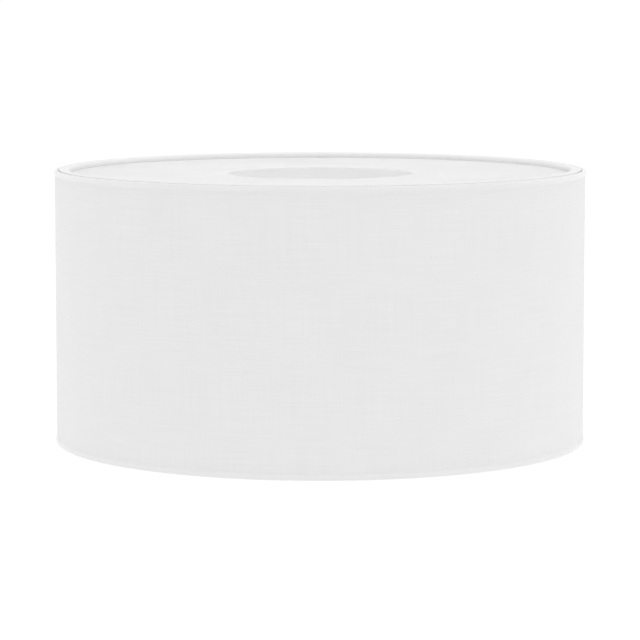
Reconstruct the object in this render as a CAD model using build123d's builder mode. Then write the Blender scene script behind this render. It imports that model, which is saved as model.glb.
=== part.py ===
"""Round drum lamp shade with a lift-off top cover, in millimetres.

The axis is +Z, the bottom rim stands on z = 0 and the lap seam is at the back, on +Y.
"""

from build123d import *
import os
from math import cos, degrees, radians, sin

# Drum
DRUM_DIAMETER = 500.0
SHADE_HEIGHT = 258.0
CLOTH_THICKNESS = 0.5
LINER_THICKNESS = 0.5

# Rolled edges of the drum
RING_WIRE_DIAMETER = 4.0
ROLL_THICKNESS = 0.6
ROLL_PROUD = 1.0
ROLL_OVERLAP = 1.8
TURN_IN_HEIGHT = 7.0

# Lap seam
SEAM_WIDTH = 12.0
TAPE_THICKNESS = 0.15
TAPE_MARGIN = 0.1

# Lift-off top cover
COVER_RADIUS = 245.3
COVER_HOLE_DIAMETER = 176.0
COVER_HOLE_FILLET = 0.3
COVER_PROUD = 0.4
PANEL_RADIUS = 242.1
PANEL_THICKNESS = 1.0
HOOP_WIDTH = 8.0
HOOP_HEIGHT = 4.0
WRAP_THICKNESS = 0.5
WRAP_TAIL = 9.0
WRAP_TUCK_DEPTH = 1.2
WRAP_TUCK_HEIGHT = 0.4
WRAP_SIDES = 16

# Spider and the rings for the lamp holder
ARM_DIAMETER = 4.0
ARM_HEADINGS = {"front": 270.0, "right": 30.0, "left": 150.0}
ARM_KNEE_RADIUS = 243.5
ARM_FOOT_LENGTH = 14.0
ARM_BEND_RADII = (2.2, 30.0)
ARM_COVER_GAP = 0.3
ARM_WELD_ANGLE = 246.0
WELD_DEPTH = 0.25
NOTCH_CLEARANCE = 1.25
NOTCH_LENGTH = 12.0
NOTCH_DROP = 0.6
FITTER_DROP = 37.0
FITTER_BORE = 42.0
FITTER_WIDTH = 5.0
FITTER_THICKNESS = 3.0
FITTER_CHAMFER = 0.4
REDUCER_BORE = 29.0
REDUCER_FLANGE_DIAMETER = 50.0
REDUCER_FLANGE_THICKNESS = 1.5
REDUCER_FLANGE_FILLET = 0.5
REDUCER_CLEARANCE = 0.1
REDUCER_SEAT_GAP = 0.05

# Radii and heights that follow from the sizes above
drum_radius = DRUM_DIAMETER / 2
wire_radius = RING_WIRE_DIAMETER / 2
roll_radius = wire_radius + ROLL_THICKNESS
ring_radius = drum_radius + ROLL_PROUD - roll_radius
bottom_ring_height = roll_radius
top_ring_height = SHADE_HEIGHT - roll_radius
mid_height = SHADE_HEIGHT / 2

hoop_end_radius = HOOP_HEIGHT / 2
hoop_flat = HOOP_WIDTH - HOOP_HEIGHT
wrap_end_radius = hoop_end_radius + WRAP_THICKNESS
hoop_radius = COVER_RADIUS - WRAP_THICKNESS - HOOP_WIDTH / 2
hoop_middle = SHADE_HEIGHT + COVER_PROUD - wrap_end_radius
panel_top = hoop_middle - hoop_end_radius
panel_bottom = panel_top - PANEL_THICKNESS
cover_bottom = panel_bottom - WRAP_THICKNESS

fitter_height = SHADE_HEIGHT - FITTER_DROP
fitter_top = fitter_height + FITTER_THICKNESS / 2
fitter_outer_radius = FITTER_BORE / 2 + FITTER_WIDTH


os.makedirs("parts", exist_ok=True)


def save(piece, name):
    """Label a finished piece and write it as one STEP file."""
    piece.label = name
    export_step(piece, f"parts/{name}.step")


def wire_ring(radius, height):
    """A closed ring of round wire around the axis."""
    with BuildPart() as ring:
        with BuildSketch(Plane.XZ):
            with Locations((radius, height)):
                Circle(wire_radius)
        revolve(axis=Axis.Z)
    return ring.part


def drum_section():
    """Half section of the cloth: the wall, its roll over each wire and the turned-in edges."""
    turn_in_radius = drum_radius - CLOTH_THICKNESS - LINER_THICKNESS - CLOTH_THICKNESS
    wall_height = 2 * (top_ring_height - ROLL_OVERLAP - mid_height)
    turn_in_top = top_ring_height - wire_radius - ROLL_THICKNESS / 2
    with BuildSketch(Plane.XZ) as section:
        with Locations((drum_radius - CLOTH_THICKNESS, mid_height)):
            Rectangle(CLOTH_THICKNESS, wall_height, align=(Align.MIN, Align.CENTER))
        with Locations((ring_radius, top_ring_height), (ring_radius, bottom_ring_height)):
            Circle(roll_radius)
        with Locations((turn_in_radius, turn_in_top)):
            Rectangle(CLOTH_THICKNESS, TURN_IN_HEIGHT, align=(Align.MIN, Align.MAX))
        with Locations((turn_in_radius, SHADE_HEIGHT - turn_in_top)):
            Rectangle(CLOTH_THICKNESS, TURN_IN_HEIGHT, align=(Align.MIN, Align.MIN))
        with Locations((ring_radius, top_ring_height), (ring_radius, bottom_ring_height)):
            Circle(wire_radius, mode=Mode.SUBTRACT)
    return section.sketch


def arc_strip(inner_radius, thickness, start_angle, end_angle):
    """Plan of a thin strip that follows the drum between two headings."""
    outer_radius = inner_radius + thickness
    with BuildSketch() as strip:
        with BuildLine():
            outer = CenterArc((0, 0), outer_radius, start_angle, end_angle - start_angle)
            inner = CenterArc((0, 0), inner_radius, start_angle, end_angle - start_angle)
            Line(outer @ 0, inner @ 0)
            Line(outer @ 1, inner @ 1)
        make_face()
    return strip.sketch


def arm_notch():
    """Plan of the slots cut in the roll where the spider arms come through it."""
    notch_width = ARM_DIAMETER + 2 * NOTCH_CLEARANCE
    with BuildSketch() as notches:
        with PolarLocations(0, 3, start_angle=ARM_HEADINGS["right"]):
            with Locations((ring_radius + ROLL_THICKNESS, 0)):
                Rectangle(NOTCH_LENGTH, notch_width, align=(Align.MAX, Align.CENTER))
    return notches.sketch


# Heights and headings of the lap seam
seam_half_angle = degrees(SEAM_WIDTH / 2 / drum_radius)
seam_start, seam_end = 90.0 - seam_half_angle, 90.0 + seam_half_angle
seam_bottom = bottom_ring_height + roll_radius
seam_height = SHADE_HEIGHT - 2 * seam_bottom
fold_angle = degrees(CLOTH_THICKNESS / drum_radius)
tape_start = seam_start + fold_angle + degrees(TAPE_MARGIN / drum_radius)

# Cloth: one sheet rolled over both wires, lapped and folded under at the back seam
notch_top = top_ring_height - NOTCH_DROP
with BuildPart() as fabric_cover:
    add(drum_section())
    revolve(axis=Axis.Z)
    with BuildSketch(Plane.XY.offset(seam_bottom)):
        fold_radius = drum_radius - CLOTH_THICKNESS / 2
        add(arc_strip(drum_radius + TAPE_THICKNESS, CLOTH_THICKNESS, seam_start, seam_end))
        add(arc_strip(fold_radius, CLOTH_THICKNESS, seam_start, seam_start + fold_angle))
    extrude(amount=seam_height)
    with BuildSketch(Plane.XY.offset(notch_top)):
        add(arm_notch())
    extrude(amount=-(TURN_IN_HEIGHT + ROLL_THICKNESS + wire_radius), mode=Mode.SUBTRACT)
save(fabric_cover.part, "fabric_cover")

with BuildPart() as seam_tape:
    with BuildSketch(Plane.XY.offset(seam_bottom)):
        add(arc_strip(drum_radius, TAPE_THICKNESS, tape_start, seam_end))
    extrude(amount=seam_height)
save(seam_tape.part, "seam_tape")

# Stiff sheet that the cloth is laminated to; its edges stop just short of the wires
liner_edge = roll_radius + ROLL_THICKNESS
liner_radius = drum_radius - CLOTH_THICKNESS
with BuildPart() as backing_liner:
    with BuildSketch(Plane.XY.offset(bottom_ring_height + liner_edge)):
        Circle(liner_radius)
        Circle(liner_radius - LINER_THICKNESS, mode=Mode.SUBTRACT)
    extrude(amount=top_ring_height - bottom_ring_height - 2 * liner_edge)
save(backing_liner.part, "backing_liner")

save(wire_ring(ring_radius, top_ring_height), "top_wire_ring")
save(wire_ring(ring_radius, bottom_ring_height), "bottom_wire_ring")

# Lift-off cover: flat panel with a round hole, a flat-oval hoop on its edge and a cloth strip over both
with BuildPart() as cover_panel:
    with BuildSketch(Plane.XY.offset(panel_bottom)):
        Circle(PANEL_RADIUS)
        Circle(COVER_HOLE_DIAMETER / 2, mode=Mode.SUBTRACT)
    extrude(amount=PANEL_THICKNESS)
    hole_rims = cover_panel.edges().filter_by(GeomType.CIRCLE).group_by(SortBy.RADIUS)[0]
    fillet(hole_rims, radius=COVER_HOLE_FILLET)
save(cover_panel.part, "cover_panel")

with BuildPart() as cover_hoop:
    with BuildSketch(Plane.XZ):
        with Locations((hoop_radius, hoop_middle)):
            SlotOverall(HOOP_WIDTH, HOOP_HEIGHT)
    revolve(axis=Axis.Z)
save(cover_hoop.part, "cover_hoop")

hoop_ends = [(hoop_radius + side * hoop_flat / 2, hoop_middle) for side in (-1, 1)]
tuck_width = PANEL_RADIUS - hoop_ends[0][0] + WRAP_TUCK_DEPTH
with BuildPart() as cover_edge_wrap:
    with BuildSketch(Plane.XZ) as wrap_section:
        with Locations(*hoop_ends):
            RegularPolygon(wrap_end_radius, WRAP_SIDES)
        with Locations((hoop_radius, hoop_middle)):
            Rectangle(hoop_flat, 2 * wrap_end_radius)
        with Locations((PANEL_RADIUS + WRAP_THICKNESS, cover_bottom)):
            Rectangle(WRAP_TAIL, panel_top - cover_bottom, align=(Align.MAX, Align.MIN))
        with Locations((PANEL_RADIUS, panel_bottom)):
            panel_pocket = (3 * WRAP_TAIL, PANEL_THICKNESS)
            Rectangle(*panel_pocket, align=(Align.MAX, Align.MIN), mode=Mode.SUBTRACT)
            tuck_pocket = (tuck_width, PANEL_THICKNESS + WRAP_TUCK_HEIGHT)
            Rectangle(*tuck_pocket, align=(Align.MAX, Align.MIN), mode=Mode.SUBTRACT)
        with Locations(*hoop_ends):
            hoop_end = RegularPolygon(
                hoop_end_radius, WRAP_SIDES, major_radius=False, mode=Mode.SUBTRACT
            )
        with Locations((hoop_radius, hoop_middle)):
            Rectangle(hoop_flat, hoop_end.bounding_box().size.Y, mode=Mode.SUBTRACT)
    revolve(axis=Axis.Z)
save(cover_edge_wrap.part, "cover_edge_wrap")

# Spider: three wires from the underside of the top ring down to the fitter ring
arm_radius = ARM_DIAMETER / 2
reach = wire_radius + arm_radius - WELD_DEPTH
weld_angle = radians(ARM_WELD_ANGLE)
arm_end = (ring_radius + reach * cos(weld_angle), top_ring_height + reach * sin(weld_angle))
arm_knee = (ARM_KNEE_RADIUS, cover_bottom - ARM_COVER_GAP - arm_radius)
arm_foot = (fitter_outer_radius + ARM_FOOT_LENGTH, fitter_height)
arm_tip = (fitter_outer_radius - WELD_DEPTH, fitter_height)

for side, heading in ARM_HEADINGS.items():
    with BuildPart() as spider_arm:
        with BuildLine(Plane.XZ) as route:
            FilletPolyline(arm_end, arm_knee, arm_foot, arm_tip, radius=ARM_BEND_RADII)
        with BuildSketch(Plane(origin=route.line @ 1, z_dir=route.line % 1)):
            Circle(arm_radius)
        sweep(path=route.line)
    arm = spider_arm.part.rotate(Axis.Z, heading)
    save(arm, f"{side}_spider_arm")

with BuildPart() as fitter_ring:
    with BuildSketch(Plane.XY.offset(fitter_top - FITTER_THICKNESS)):
        Circle(fitter_outer_radius)
        Circle(FITTER_BORE / 2, mode=Mode.SUBTRACT)
    extrude(amount=FITTER_THICKNESS)
    chamfer(fitter_ring.edges().filter_by(GeomType.CIRCLE).group_by(SortBy.RADIUS)[-1], length=FITTER_CHAMFER)
save(fitter_ring.part, "fitter_ring")

# Loose reducer: a flange on the fitter ring and a short spigot in its bore
with BuildPart() as reducer_ring:
    spigot_bottom = fitter_top - FITTER_THICKNESS
    flange_bottom = fitter_top + REDUCER_SEAT_GAP
    with BuildSketch(Plane.XY.offset(spigot_bottom)):
        Circle(FITTER_BORE / 2 - REDUCER_CLEARANCE)
    extrude(amount=flange_bottom - spigot_bottom)
    with BuildSketch(Plane.XY.offset(flange_bottom)):
        Circle(REDUCER_FLANGE_DIAMETER / 2)
    extrude(amount=REDUCER_FLANGE_THICKNESS)
    with BuildSketch(Plane.XY.offset(spigot_bottom)):
        Circle(REDUCER_BORE / 2)
    extrude(amount=SHADE_HEIGHT - spigot_bottom, mode=Mode.SUBTRACT)
    flange_rim = reducer_ring.edges().filter_by(GeomType.CIRCLE).group_by(SortBy.RADIUS)[-1]
    fillet(flange_rim, radius=REDUCER_FLANGE_FILLET)
save(reducer_ring.part, "reducer_ring")
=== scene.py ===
"""Looks of the drum lamp shade: woven cloth wall with rolled edges, lift-off cover, spider and fitter."""

from math import atan2, cos, pi, radians, sin, tau

import bpy
import numpy as np
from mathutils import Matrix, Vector, noise


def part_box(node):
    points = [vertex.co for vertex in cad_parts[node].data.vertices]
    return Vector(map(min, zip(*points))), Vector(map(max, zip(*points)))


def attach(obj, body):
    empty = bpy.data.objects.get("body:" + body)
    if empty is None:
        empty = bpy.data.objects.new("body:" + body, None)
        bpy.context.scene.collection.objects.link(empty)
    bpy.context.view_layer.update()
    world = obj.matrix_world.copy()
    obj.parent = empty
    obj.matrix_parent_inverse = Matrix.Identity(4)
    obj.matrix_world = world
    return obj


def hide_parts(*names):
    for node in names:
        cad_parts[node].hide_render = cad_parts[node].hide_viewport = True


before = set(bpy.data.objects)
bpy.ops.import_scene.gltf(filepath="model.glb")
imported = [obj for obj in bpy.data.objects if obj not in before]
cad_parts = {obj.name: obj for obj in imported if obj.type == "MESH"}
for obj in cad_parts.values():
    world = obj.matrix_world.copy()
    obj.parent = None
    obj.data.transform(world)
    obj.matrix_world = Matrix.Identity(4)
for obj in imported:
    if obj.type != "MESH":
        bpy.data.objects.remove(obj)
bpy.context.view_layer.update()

MM = 0.001


# ---------------------------------------------------------------- sizes, from the frame where it has them

def radius_of(node):
    """Outer radius of a round node, from its width."""
    low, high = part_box(node)
    return (high.x - low.x) / 2


def wire_of(node):
    """A wire ring's own radius, the radius it is bent to, and its height."""
    low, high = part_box(node)
    wire = (high.z - low.z) / 2
    return wire, radius_of(node) - wire, (low.z + high.z) / 2


WIRE_RADIUS, RING_RADIUS, TOP_RING_Z = wire_of("top_wire_ring")
BOTTOM_RING_Z = wire_of("bottom_wire_ring")[2]
LINER_RADIUS = radius_of("backing_liner")
LINER_BOTTOM, LINER_TOP = (corner.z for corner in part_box("backing_liner"))
SHEET = 0.5 * MM  # thickness of the cloth, and of the liner
WALL_RADIUS = LINER_RADIUS + SHEET
ROLL_RADIUS = WIRE_RADIUS + 0.6 * MM  # outside of the cloth rolled over a ring
TAIL_RADIUS = LINER_RADIUS - 2 * SHEET
TAIL_LENGTH = 7 * MM  # cloth tucked behind the liner at each rolled edge

HOOP_BOTTOM, HOOP_TOP = (corner.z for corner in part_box("cover_hoop"))
HOOP_END = (HOOP_TOP - HOOP_BOTTOM) / 2
HOOP_MIDDLE = (HOOP_TOP + HOOP_BOTTOM) / 2
HOOP_OUTER = radius_of("cover_hoop") - HOOP_END
HOOP_FLAT = 4 * MM  # flat width of the hoop between its two round ends
HOOP_INNER = HOOP_OUTER - HOOP_FLAT
PANEL_BOTTOM, PANEL_TOP = (corner.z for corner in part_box("cover_panel"))
PANEL_RADIUS = radius_of("cover_panel")
HOLE_RADIUS = 88 * MM
WRAP_END = HOOP_END + SHEET
WRAP_TAIL = 9 * MM  # edge strip glued under the panel
WRAP_LAP = 8 * MM  # edge strip lapped on itself at its join

SEAM_ANGLE = pi / 2  # the drum's lap and the strip's join are at the back
SEAM_WIDTH = 12 * MM
ARM_ANGLES = [radians(heading) for heading in (270, 30, 150)]
NOTCH_HALF = 3.25 * MM  # half the width of the slot that an arm comes through


# ---------------------------------------------------------------- meshes

def sheet_mesh(name, points, faces, material, coordinates):
    """A smooth-shaded mesh. coordinates holds each point's place on the flat cloth, and its backing, which
    is also where the cloth is painted darker as shade.
    """
    mesh = bpy.data.meshes.new(name)
    mesh.from_pydata([tuple(p) for p in points], [], [tuple(f) for f in faces])
    mesh.polygons.foreach_set("use_smooth", [True] * len(mesh.polygons))
    layer = mesh.attributes.new("cloth", "FLOAT_VECTOR", "POINT")
    layer.data.foreach_set("vector", np.asarray(coordinates, np.float32).ravel())
    mesh.materials.append(material)
    mesh.update()
    return mesh


def ring_faces(rows, columns, closed_rows=False):
    """Quads over points laid out row by row, where each row closes on itself."""
    for i in range(rows if closed_rows else rows - 1):
        for j in range(columns):
            k, m = (i + 1) % rows, (j + 1) % columns
            yield i * columns + j, k * columns + j, k * columns + m, i * columns + m


def arc(centre, radius, start, end, step):
    """Points of an arc in the half section, (radius, height), between two angles in degrees."""
    count = max(int(abs(radians(end - start)) * radius / step), 2)
    angles = np.radians(np.linspace(start, end, count + 1))
    return np.stack([centre[0] + radius * np.cos(angles), centre[1] + radius * np.sin(angles)], 1)


def run(start, end, step):
    """Points of a straight run in the half section, without its last point."""
    start, end = np.array(start, float), np.array(end, float)
    count = max(round(np.linalg.norm(end - start) / step), 1)
    return start + (end - start) * np.linspace(0, 1, count, endpoint=False)[:, None]


def softened(line, passes):
    """The same line with its corners eased by averaging neighbours."""
    line = line.copy()
    for _ in range(passes):
        line[1:-1] = (line[:-2] + 2 * line[1:-1] + line[2:]) / 4
    return line


def outward(section):
    """Unit normals of a half section, to the left of its direction of travel."""
    travel = np.gradient(section, axis=0)
    travel /= np.linalg.norm(travel, axis=1)[:, None]
    return np.stack([-travel[:, 1], travel[:, 0]], 1)


def lengths_along(section):
    """Distance along a half section to each of its points."""
    steps = np.linalg.norm(np.diff(section, axis=0), axis=1)
    return np.concatenate([[0], np.cumsum(steps)])


def waves(angles, counts, seed):
    """A smooth closed curve round the axis, from -1 to 1, made of a few whole numbers of waves."""
    phases = np.random.default_rng(seed).uniform(0, tau, len(counts))
    return sum(np.sin(n * angles + p) for n, p in zip(counts, phases)) / len(counts)


def eased(value, start, length):
    """0 up to start, 1 from length past it, and an even rise between them."""
    return np.clip((value - start) / length, 0, 1)


def revolved(name, section, angles, lift, material, travel_radius, closed=False, backed_and_shaded=0.0):
    """A half section turned round the axis. lift is how far each point stands off, point by angle.
    backed is 1 where a wire or another layer behind the sheet keeps light from coming through; woven cloth
    is also painted darker there, as shade."""
    normals = outward(section)
    lift = np.broadcast_to(lift, (len(section), len(angles)))
    radii = section[:, :1] + normals[:, :1] * lift
    heights = section[:, 1:] + normals[:, 1:] * lift
    points = np.stack([radii * np.cos(angles), radii * np.sin(angles), heights], 2)
    around = (angles - angles[0]) * travel_radius
    along = lengths_along(section)
    backed_and_shaded = np.broadcast_to(backed_and_shaded, len(section))
    cloth = np.stack(np.broadcast_arrays(around[None, :], along[:, None], backed_and_shaded[:, None]), 2)
    faces = ring_faces(len(section), len(angles), closed)
    mesh = sheet_mesh(name, points.reshape(-1, 3), faces, material, cloth.reshape(-1, 3))
    piece = bpy.data.objects.new(name, mesh)
    bpy.context.scene.collection.objects.link(piece)
    return piece


# ---------------------------------------------------------------- materials

def node_maker(material):
    """Adds shader nodes to a material or world: make(kind, inputs, settings) returns the new node."""
    tree = material.node_tree

    def make(kind, inputs=(), **settings):
        node = tree.nodes.new("ShaderNode" + kind)
        for key, value in settings.items():
            setattr(node, key, value)
        for key, value in dict(inputs).items():
            if isinstance(value, bpy.types.NodeSocket):
                tree.links.new(value, node.inputs[key])
            else:
                node.inputs[key].default_value = value
        return node

    return make


def blank(name):
    """A new material without nodes, and the function that adds them."""
    material = bpy.data.materials.new(name)
    material.use_nodes = True
    material.node_tree.nodes.clear()
    return material, node_maker(material)


def connect_surface(make, base, bump, roughness, sheen=0.0, shine=0.5, glow=None):
    """Ends a material: a plain surface, with the share of the light let through that glow gives."""
    inputs = {"Base Color": base, "Normal": bump, "Roughness": roughness, "Specular IOR Level": shine}
    inputs.update({"Sheen Weight": sheen, "Sheen Roughness": 0.5})
    surface = make("BsdfPrincipled", inputs).outputs[0]
    if glow is not None:
        through = make("BsdfTranslucent", {"Color": base}).outputs[0]
        surface = make("MixShader", {0: glow, 1: surface, 2: through}).outputs[0]
    make("OutputMaterial", {"Surface": surface})


THREAD_DRIFT = 0.3 * MM
THREAD_HEIGHT = 0.05 * MM
SLUB_HEIGHT = 0.06 * MM
CLOTH_ROUGHNESS = 0.92
ROLL_PAINTED_SHADE = 0.912  # painted shade: brightness of the cloth where it rolls over a wire or the hoop, against 1 elsewhere


def woven(name, tone, glow, sheen, pitch):
    """Plain weave of slightly uneven threads, with thicker slubs both ways, and painted shade where it is
    backed.
    """
    material, make = blank(name)
    place = make("Attribute", attribute_name="cloth").outputs["Vector"]

    def stretched(across, along, detail, seed):
        """Noise drawn out along one direction of the cloth."""
        sizes = (1 / across, 1 / along, 1.0)
        moved = make("Mapping", {"Vector": place, "Scale": sizes, "Location": (seed, seed * 1.7, 0)})
        return make("TexNoise", {"Vector": moved.outputs[0], "Scale": 1.0, "Detail": detail}).outputs[0]

    def combined(kind, a, b):
        return make("Math", {0: a, 1: b}, operation=kind).outputs[0]

    def ramp(value, low, high, to_low, to_high):
        inputs = {"Value": value, "From Min": low, "From Max": high, "To Min": to_low, "To Max": to_high}
        return make("MapRange", inputs).outputs[0]

    # the threads: two sine waves crossing, each drifting a little from side to side
    waver_u = stretched(3 * MM, 30 * MM, 1.0, 3.1)
    waver_v = stretched(30 * MM, 3 * MM, 1.0, 8.4)
    split = make("SeparateXYZ", {0: place})
    u = combined("ADD", split.outputs[0], ramp(waver_u, 0, 1, -THREAD_DRIFT, THREAD_DRIFT))
    v = combined("ADD", split.outputs[1], ramp(waver_v, 0, 1, -THREAD_DRIFT, THREAD_DRIFT))
    rise_u = make("Math", {0: combined("MULTIPLY", u, pi / pitch)}, operation="SINE").outputs[0]
    rise_v = make("Math", {0: combined("MULTIPLY", v, pi / pitch)}, operation="SINE").outputs[0]
    crossing = combined("MULTIPLY", rise_u, rise_v)
    threads = combined("ADD", combined("MULTIPLY", crossing, 0.5), 0.5)

    # slubs, streaks of thicker and thinner yarn, and a broad mottle: stronger along the wall than up it
    upright = ramp(stretched(0.9 * MM, 26 * MM, 2.0, 1.3), 0.58, 0.78, 0, 0.42)
    level = ramp(stretched(22 * MM, 0.9 * MM, 2.0, 6.6), 0.58, 0.78, 0, 0.65)
    slubs = combined("MAXIMUM", upright, level)
    mottle = stretched(45 * MM, 60 * MM, 3.0, 4.2)
    warp_streaks = ramp(stretched(1.6 * MM, 70 * MM, 1.0, 9.2), 0.3, 0.7, 0.992, 1.008)
    weft_streaks = ramp(stretched(60 * MM, 1.4 * MM, 1.0, 5.5), 0.3, 0.7, 0.988, 1.012)

    raised = combined("MULTIPLY", threads, THREAD_HEIGHT)
    height = combined("ADD", raised, combined("MULTIPLY", slubs, SLUB_HEIGHT))
    bump = make("Bump", {"Height": height, "Strength": 1.0, "Distance": 1.0}).outputs[0]
    value = combined("MULTIPLY", ramp(threads, 0, 1, 0.975, 1.01), ramp(slubs, 0, 1, 1.0, 0.96))
    value = combined("MULTIPLY", value, combined("MULTIPLY", warp_streaks, weft_streaks))
    value = combined("MULTIPLY", value, ramp(mottle, 0.3, 0.7, 0.993, 1.007))
    # painted shade: the cloth's colour is made darker where a wire or the hoop lies behind it
    value = combined("MULTIPLY", value, ramp(split.outputs[2], 0, 1, 1.0, ROLL_PAINTED_SHADE))
    base = make("VectorMath", {0: tone, "Scale": value}, operation="SCALE").outputs[0]
    thin = make("Math", {0: glow, 1: combined("SUBTRACT", 1.0, split.outputs[2])}, operation="MULTIPLY")
    connect_surface(make, base, bump, CLOTH_ROUGHNESS, sheen=sheen, shine=0.0, glow=thin.outputs[0])
    return material


BROAD_GRAIN = 60 * MM


def grained(name, tone, roughness, grain, depth, **finish):
    """A smooth sheet, moulding or coating with a fine grain, in the object's own space."""
    material, make = blank(name)
    place = make("TexCoord").outputs["Object"]
    fine = make("TexNoise", {"Vector": place, "Scale": 1 / grain, "Detail": 3.0}).outputs[0]
    broad = make("TexNoise", {"Vector": place, "Scale": 1 / BROAD_GRAIN, "Detail": 2.0}).outputs[0]
    bump = make("Bump", {"Height": fine, "Strength": 1.0, "Distance": depth}).outputs[0]
    limits = {"From Min": 0.3, "From Max": 0.7}
    uneven = make("MapRange", {"Value": broad, "To Min": 0.985, "To Max": 1.01, **limits}).outputs[0]
    base = make("VectorMath", {0: tone, "Scale": uneven}, operation="SCALE").outputs[0]
    span = {"To Min": roughness - 0.06, "To Max": roughness + 0.06}
    rough = make("MapRange", {"Value": fine, **limits, **span}).outputs[0]
    connect_surface(make, base, bump, rough, **finish)
    return material


WALL_CLOTH = woven("wall_cloth", (0.855, 0.855, 0.855), glow=0.12, sheen=1.0, pitch=0.45 * MM)
EDGE_CLOTH = woven("edge_cloth", (0.928, 0.928, 0.928), glow=0.0, sheen=0.2, pitch=0.38 * MM)
LINER_SHEET = grained("liner_sheet", (0.96, 0.96, 0.96), 0.5, 0.8 * MM, 0.01 * MM, glow=0.2, shine=0.2)
COVER_SHEET = grained("cover_sheet", (0.9, 0.9, 0.9), 0.6, 0.7 * MM, 0.015 * MM, glow=0.3, shine=0.1)
COATED_WIRE = grained("coated_wire", (0.8, 0.8, 0.795), 0.38, 0.5 * MM, 0.006 * MM)
MOULDED = grained("moulded_plastic", (0.85, 0.85, 0.84), 0.33, 1.2 * MM, 0.008 * MM)


# ---------------------------------------------------------------- the drum's cloth

CLOTH_STEP = 1.84 * MM  # spacing of the mesh round the drum
LINER_STEP = 4 * MM
PAST_FOLD = (0.08 * MM, 0.2 * MM, 0.4 * MM, 0.8 * MM)
BEFORE_FOLD = (0.15 * MM, 0.6 * MM)
SLOT_GAP = 0.3 * MM  # no even step falls nearer than this to a slot's side

seam_start = SEAM_ANGLE - SEAM_WIDTH / 2 / WALL_RADIUS


def drum_angles(step):
    """Headings round the drum, close together at the lap's fold and at the slots for the arms."""
    even = np.linspace(0, tau, round(tau * WALL_RADIUS / step), endpoint=False)
    fold = [distance / WALL_RADIUS for distance in PAST_FOLD]
    fold += [tau - distance / WALL_RADIUS for distance in BEFORE_FOLD]
    slots = []
    for arm in ARM_ANGLES:
        for side in (-NOTCH_HALF, NOTCH_HALF):
            slots.append((arm - seam_start + side / RING_RADIUS) % tau)
    kept = [a for a in even if min(abs(a - s) for s in slots) > SLOT_GAP / RING_RADIUS]
    return np.sort(np.concatenate([kept, fold, slots])) + seam_start


def cloth_section():
    """Half section of the one sheet, from one turned-in edge over both wires to the other."""
    step = 0.5 * MM
    neck_end = 6 * step
    # angles below level where the roll runs into the wall, and into the tail
    lift = np.degrees(np.arccos((WALL_RADIUS - RING_RADIUS) / ROLL_RADIUS))
    tuck = np.degrees(np.arccos((TAIL_RADIUS - RING_RADIUS) / ROLL_RADIUS))
    tail_z = TOP_RING_Z - ROLL_RADIUS * sin(radians(tuck))
    tail = run((TAIL_RADIUS, tail_z - TAIL_LENGTH), (TAIL_RADIUS, tail_z), 1.75 * MM)
    roll = arc((RING_RADIUS, TOP_RING_Z), ROLL_RADIUS, 360 - tuck, -lift, step)
    below = roll[-1, 1]
    neck = run((WALL_RADIUS, below - step), (WALL_RADIUS, below - neck_end), step)
    top = softened(np.concatenate([tail, roll, neck]), 2)
    middle = (TOP_RING_Z + BOTTOM_RING_Z) / 2
    wall = run((WALL_RADIUS, below - neck_end), (WALL_RADIUS, middle), 7 * MM)
    half = np.concatenate([top, wall])
    mirrored = half[::-1] * (1, -1) + (0, 2 * middle)
    return np.concatenate([half, [[WALL_RADIUS, middle]], mirrored])


FOLD_LENGTH = 0.2 * MM  # the cloth climbs over the fold of the lap within this
LAP_EASE = 9 * MM  # and comes back down to the liner over this, past the lap
WALL_UNEVEN = 0.07 * MM
SLOW_WAVE, QUICK_WAVE = 110 * MM, 75 * MM  # the wall's waves up its height, per radian
WALL_INSET, WALL_EASE = 3 * MM, 12 * MM  # they fade out towards the rings within these
ROLL_BROAD, ROLL_FINE = 0.04 * MM, 0.02 * MM


def roll_unevenness(angles, broad, fine, seed):
    """Slow and quick waves along a rolled edge."""
    return waves(angles, broad, seed) * ROLL_BROAD + waves(angles, fine, seed + 1) * ROLL_FINE


def drum_cloth():
    """The wall and both rolled edges as one sheet, lapped and folded under at the back."""
    section = cloth_section()
    height = section[:, 1:]
    angles = drum_angles(CLOTH_STEP)
    travelled = (angles - angles[0]) * WALL_RADIUS
    descent = eased(travelled, SEAM_WIDTH, LAP_EASE)
    lap = eased(travelled, 0, FOLD_LENGTH) * SHEET * (1 - descent * descent * (3 - 2 * descent))
    fade = np.sin((angles - angles[0]) / 2) ** 0.1  # the waves die out where the sheet meets itself
    on_wall = eased(TOP_RING_Z - height, WALL_INSET, WALL_EASE)
    on_wall = on_wall * eased(height - BOTTOM_RING_Z, WALL_INSET, WALL_EASE)
    sag = waves(angles, (3, 5, 8, 13), 1) * np.sin(height / SLOW_WAVE)
    sag = sag + waves(angles, (4, 7, 11, 19), 2) * np.cos(height / QUICK_WAVE)
    upper = roll_unevenness(angles, (9, 23, 41, 67), (131, 173, 211), 3)
    lower = roll_unevenness(angles, (11, 19, 37, 71), (127, 181, 223), 5)
    roll = np.where(height > (TOP_RING_Z + BOTTOM_RING_Z) / 2, upper, lower)
    lift = lap + fade * (on_wall * sag * WALL_UNEVEN + (1 - on_wall) * roll)
    on_roll = np.minimum(np.abs(height - TOP_RING_Z), np.abs(height - BOTTOM_RING_Z)) < ROLL_RADIUS
    # the rolled edges: their wires keep light from coming through, and their cloth is painted darker as
    # shade
    backed_and_shaded = on_roll.astype(float).ravel()
    cloth = revolved("shade_cloth", section, angles, lift, WALL_CLOTH, WALL_RADIUS, backed_and_shaded=backed_and_shaded)
    for vertex in cloth.data.vertices:
        vertex.co.z = max(vertex.co.z, 0)  # no wave of the lower roll goes under the floor
    cut_slots(cloth)
    return cloth, lengths_along(section)[-1]


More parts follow.
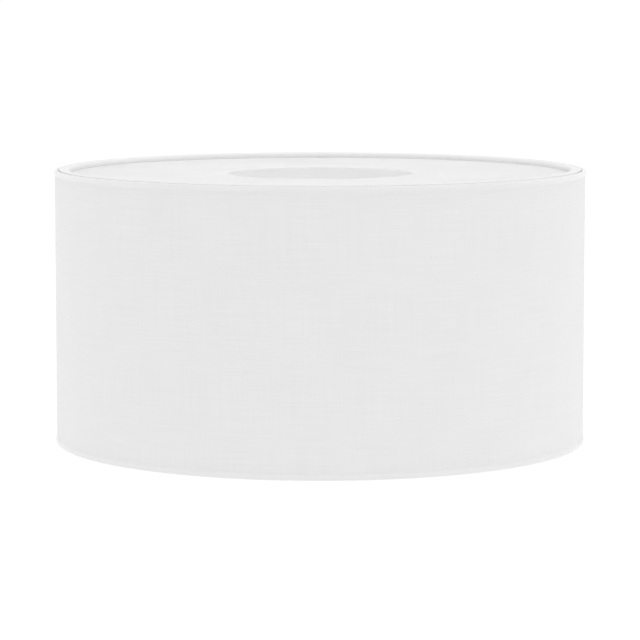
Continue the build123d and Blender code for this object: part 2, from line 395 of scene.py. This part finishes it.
def cut_slots(cloth):
    """Opens the inner side of the top roll where the spider arms come through it."""
    slot_top = TOP_RING_Z - 0.6 * MM
    slot_bottom = slot_top - 10 * MM

    def in_slot(x, y, z):
        if not slot_bottom <= z <= slot_top or Vector((x, y)).length > TAIL_RADIUS + SHEET:
            return False
        heading = atan2(y, x)
        return min(abs((heading - arm + pi) % tau - pi) for arm in ARM_ANGLES) * RING_RADIUS < NOTCH_HALF

    faces = [tuple(face.vertices) for face in cloth.data.polygons if not in_slot(*face.center)]
    used = sorted({i for face in faces for i in face})
    index = {old: new for new, old in enumerate(used)}
    faces = [[index[i] for i in face] for face in faces]
    points = [cloth.data.vertices[i].co for i in used]
    coordinates = np.zeros(len(cloth.data.vertices) * 3, np.float32)
    cloth.data.attributes["cloth"].data.foreach_get("vector", coordinates)
    coordinates = coordinates.reshape(-1, 3)[used]
    cloth.data = sheet_mesh("shade_cloth", points, faces, cloth.data.materials[0], coordinates)


cloth, cloth_height = drum_cloth()
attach(cloth, "shade")
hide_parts("fabric_cover", "seam_tape")


# ---------------------------------------------------------------- the backing liner

LINER_LAP = 0.35 * MM  # how much further in the liner's inner side stands at its lap
LINER_UNEVEN = 0.05 * MM


def backing_sheet():
    """The stiff white sheet behind the cloth, lapped on itself at the back."""
    outer, inner = LINER_RADIUS, LINER_RADIUS - SHEET
    wall_out = run((outer, LINER_TOP), (outer, LINER_BOTTOM), 8 * MM)
    wall_in = run((inner, LINER_BOTTOM), (inner, LINER_TOP), 8 * MM)
    edge_out = [[outer, LINER_BOTTOM], [inner + 0.1 * MM, LINER_BOTTOM - 0.05 * MM]]
    edge_in = [[inner, LINER_TOP], [outer - 0.1 * MM, LINER_TOP + 0.05 * MM]]
    section = np.concatenate([wall_out, edge_out, wall_in, edge_in])
    angles = drum_angles(LINER_STEP)
    travelled = (angles - angles[0]) * WALL_RADIUS
    lap = eased(travelled, 0, FOLD_LENGTH) * eased(SEAM_WIDTH - travelled, 0, 0.3 * MM)
    inside = (section[:, :1] < (outer + inner) / 2).astype(float)
    sway = waves(angles, (3, 5, 8, 13), 1) * np.sin(section[:, 1:] / SLOW_WAVE)
    lift = inside * (LINER_LAP * lap + LINER_UNEVEN * (1 + sway))
    return revolved("backing_sheet", section, angles, lift, LINER_SHEET, WALL_RADIUS, closed=True)


liner = backing_sheet()
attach(liner, "shade")
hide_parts("backing_liner")


# ---------------------------------------------------------------- the lift-off cover

PANEL_BROAD, PANEL_FINE = 0.2 * MM, 0.05 * MM
PANEL_SAG = 0.15 * MM


def cover_sheet():
    """The flat panel, with eased edges at its hole and a very slight unevenness."""
    ease = 0.35 * MM
    top = run((HOLE_RADIUS + ease, PANEL_TOP), (PANEL_RADIUS, PANEL_TOP), 7 * MM)
    bottom = run((PANEL_RADIUS, PANEL_BOTTOM), (HOLE_RADIUS + ease, PANEL_BOTTOM), 7 * MM)
    lower_edge = arc((HOLE_RADIUS + ease, PANEL_BOTTOM + ease), ease, 270, 180, 0.12 * MM)
    upper_edge = arc((HOLE_RADIUS + ease, PANEL_TOP - ease), ease, 180, 90, 0.12 * MM)[:-1]
    rim = [[PANEL_RADIUS, PANEL_TOP]]
    section = np.concatenate([top, rim, bottom, lower_edge, upper_edge])
    angles = np.linspace(0, tau, 480, endpoint=False)
    reach = eased(PANEL_RADIUS - section[:, :1], 12 * MM, 60 * MM)
    uneven = waves(angles, (2, 3, 5), 11) * PANEL_BROAD + waves(angles, (7, 11), 12) * PANEL_FINE
    piece = revolved("cover_sheet", section, angles, 0.0, COVER_SHEET, HOOP_INNER, closed=True)
    rise = (reach * (uneven - PANEL_SAG)).ravel()
    for vertex, dz in zip(piece.data.vertices, rise):
        vertex.co.z += dz
    return piece


STRIP_PUFF = 0.5 * MM  # cloth and glue that build up over the hoop
STRIP_SLACK = 0.1 * MM  # how far the strip stands off the hoop's outer side
SHOULDER_REACH = 2.85 * MM  # how far the flat crest goes on past the middle of the hoop's outer end
PUCKER, SWELL = 0.03 * MM, 0.02 * MM
JOIN_RISE = 0.3 * MM  # the strip's lap on itself


def edge_section():
    """Half section of the strip, from the panel's top over the hoop to its edge under the panel."""
    step = 0.45 * MM
    tuck = 18  # degrees that the inner side curls back in above the panel
    face = HOOP_INNER - WRAP_END * cos(radians(tuck))
    # the strip's turned-in edge, pressed on the panel
    lip = [[face + 0.25 * MM, PANEL_TOP - 0.1 * MM], [face + 0.15 * MM, PANEL_TOP + 0.35 * MM]]
    inner = arc((HOOP_INNER, HOOP_MIDDLE + STRIP_PUFF), WRAP_END, 180 + tuck, 90, step)
    shoulder = 0.5 * MM
    shoulder_radius = HOOP_OUTER + SHOULDER_REACH
    crest = HOOP_MIDDLE + WRAP_END + STRIP_PUFF
    top = run((HOOP_INNER + step, crest), (shoulder_radius, crest), 0.8 * MM)
    bend = arc((shoulder_radius, crest - shoulder), shoulder, 90, 0, 0.25 * MM)
    belly = (bend[-1, 0] - 0.2 * MM, HOOP_MIDDLE + 1.3 * MM)  # the outer side stays full below the shoulder
    flank_end = (HOOP_OUTER + WRAP_END + STRIP_SLACK, HOOP_MIDDLE)
    flank = np.concatenate([run(bend[-1], belly, 0.4 * MM)[1:], run(belly, flank_end, 0.4 * MM)])
    under_bend = arc((HOOP_OUTER, HOOP_MIDDLE), WRAP_END + STRIP_SLACK, 0, -80, step)
    outer = np.concatenate([bend, flank, under_bend])
    under = PANEL_BOTTOM - SHEET
    edge_radius = PANEL_RADIUS + SHEET
    corner = 0.6 * MM
    turn = arc((edge_radius - corner, under + corner), corner, 0, -90, 0.3 * MM)
    tail_end = edge_radius - WRAP_TAIL
    tail = run((edge_radius - corner - step, under), (tail_end, under), 0.9 * MM)
    edge = [[tail_end, under], [tail_end - 0.05 * MM, PANEL_BOTTOM - 0.05 * MM]]
    return softened(np.concatenate([lip, inner, top, outer, turn, tail, edge]), 1)


def edge_strip():
    """The cloth strip folded over the cover's hoop and the panel's edge, with small puckers."""
    section = edge_section()
    angles = np.linspace(0, tau, 1200, endpoint=False)
    slant = lengths_along(section)[:, None] / HOOP_INNER
    pucker = waves(angles + 2.5 * slant, (139, 167, 199, 241), 21) * PUCKER
    swell = waves(angles, (13, 29, 47), 22) * SWELL
    join = (angles - SEAM_ANGLE + pi) % tau - pi
    overlap = np.exp(-((join * HOOP_INNER / (WRAP_LAP / 2)) ** 4)) * JOIN_RISE
    free = (section[:, :1] < HOOP_OUTER) | (section[:, 1:] < PANEL_TOP)  # the lap keeps off the drum's roll
    lift = pucker + swell + free * overlap
    lift[[0, -1]] = 0
    # the strip lies over the hoop all round: no light comes through it, and all of it takes the painted
    # shade tone
    strip = revolved("cover_edge_strip", section, angles, lift, EDGE_CLOTH, HOOP_INNER, backed_and_shaded=1.0)
    return strip, lengths_along(section)[-1]


panel = cover_sheet()
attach(panel, "top_cover")
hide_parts("cover_panel")

strip, strip_width = edge_strip()
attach(strip, "top_cover")
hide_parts("cover_edge_wrap")


# ---------------------------------------------------------------- welds and the CAD pieces' finish

HUB_WELD = (2.3 * MM, 2.3 * MM, 1.9 * MM)
RIM_WELD = (1.7 * MM, 1.7 * MM, 1.5 * MM)
WELD_UNEVEN = 0.12
RIM_WELD_IN, RIM_WELD_DOWN = 1.6 * MM, 1.2 * MM  # from the arm's outer end, and from its top


def weld(name, centre, size):
    """A small uneven bead of weld metal under the coating."""
    bpy.ops.mesh.primitive_ico_sphere_add(subdivisions=4, radius=1)
    bead = bpy.context.object
    bead.name = bead.data.name = name
    for vertex in bead.data.vertices:  # each bead takes its roughness from its own place in the noise
        rough = noise.noise(vertex.co * 2.3 + Vector(centre) * 90)
        swollen = vertex.co * (1 + WELD_UNEVEN * rough)
        vertex.co = Vector(centre) + Vector(a * b for a, b in zip(swollen, size))
    bead.data.polygons.foreach_set("use_smooth", [True] * len(bead.data.polygons))
    bead.data.materials.append(COATED_WIRE)
    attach(bead, "shade")


fitter_low, fitter_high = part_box("fitter_ring")
fitter_z, fitter_radius = (fitter_low.z + fitter_high.z) / 2, radius_of("fitter_ring")
arm_low, arm_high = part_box("front_spider_arm")
for side, heading in zip(("front", "right", "left"), ARM_ANGLES):
    flat = Vector((cos(heading), sin(heading), 0))
    hub = flat * fitter_radius + Vector((0, 0, fitter_z))
    rim = flat * (-arm_low.y - RIM_WELD_IN) + Vector((0, 0, arm_high.z - RIM_WELD_DOWN))
    weld(f"{side}_hub_weld", hub, HUB_WELD)
    weld(f"{side}_rim_weld", rim, RIM_WELD)

for name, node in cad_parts.items():
    finish = MOULDED if name == "reducer_ring" else COATED_WIRE
    for slot in node.material_slots:
        slot.material = finish
    node.data.polygons.foreach_set("use_smooth", [True] * len(node.data.polygons))


# ---------------------------------------------------------------- floor, light and camera

SKY_LEVEL = 1.03
SKY_TILT = 0.06  # gain towards the right, and as much loss towards the left
SKY_SIDES = 0.16  # gain towards both sides
PALE = 0.1  # how much of the light that falls on a glowing table it sends back


def light_table(name, radius, height, strength):
    """A round, level surface that glows evenly."""
    bpy.ops.mesh.primitive_circle_add(vertices=96, radius=radius, fill_type="NGON", location=(0, 0, height))
    table = bpy.context.object
    table.name = name
    material, make = blank(name)
    lit = {"Base Color": (PALE, PALE, PALE, 1), "Roughness": 1.0, "Specular IOR Level": 0.0}
    lit.update({"Emission Color": (1, 1, 1, 1), "Emission Strength": strength})
    make("OutputMaterial", {"Surface": make("BsdfPrincipled", lit).outputs[0]})
    table.data.materials.append(material)


def studio():
    """Even white light from all round, a little stronger from the two sides, most of all the right."""
    world = bpy.data.worlds.new("studio")
    bpy.context.scene.world = world
    world.use_nodes = True
    world.node_tree.nodes.clear()
    make = node_maker(world)
    towards = make("TexCoord").outputs["Generated"]
    across = make("SeparateXYZ", {0: towards}).outputs[0]
    tilted = make("Math", {0: across, 1: SKY_TILT, 2: SKY_LEVEL}, operation="MULTIPLY_ADD").outputs[0]
    sides = make("Math", {0: across, 1: across}, operation="MULTIPLY").outputs[0]
    strength = make("Math", {0: sides, 1: SKY_SIDES, 2: tilted}, operation="MULTIPLY_ADD").outputs[0]
    lit = make("Background", {"Color": (1, 1, 1, 1), "Strength": strength}).outputs[0]
    make("OutputWorld", {"Surface": lit})


def camera():
    """In front of the shade and a little above it, looking slightly down at it."""
    distance, height = 2.9167, 0.44454  # metres from the axis, and above the floor
    pitch = 6.473  # degrees down from level
    data = bpy.data.cameras.new("camera")
    data.lens, data.sensor_width = 173.6, 36  # millimetres
    data.clip_end = 200
    eye = bpy.data.objects.new("camera", data)
    eye.location = (0, -distance, height)
    eye.rotation_euler = (radians(90 - pitch), 0, 0)
    bpy.context.scene.collection.objects.link(eye)
    bpy.context.scene.camera = eye


light_table("studio_floor", radius=40, height=0, strength=0.92)
light_table("light_pad", radius=235 * MM, height=0.5 * MM, strength=1.65)
studio()
camera()
bpy.context.scene.view_settings.view_transform = "Standard"
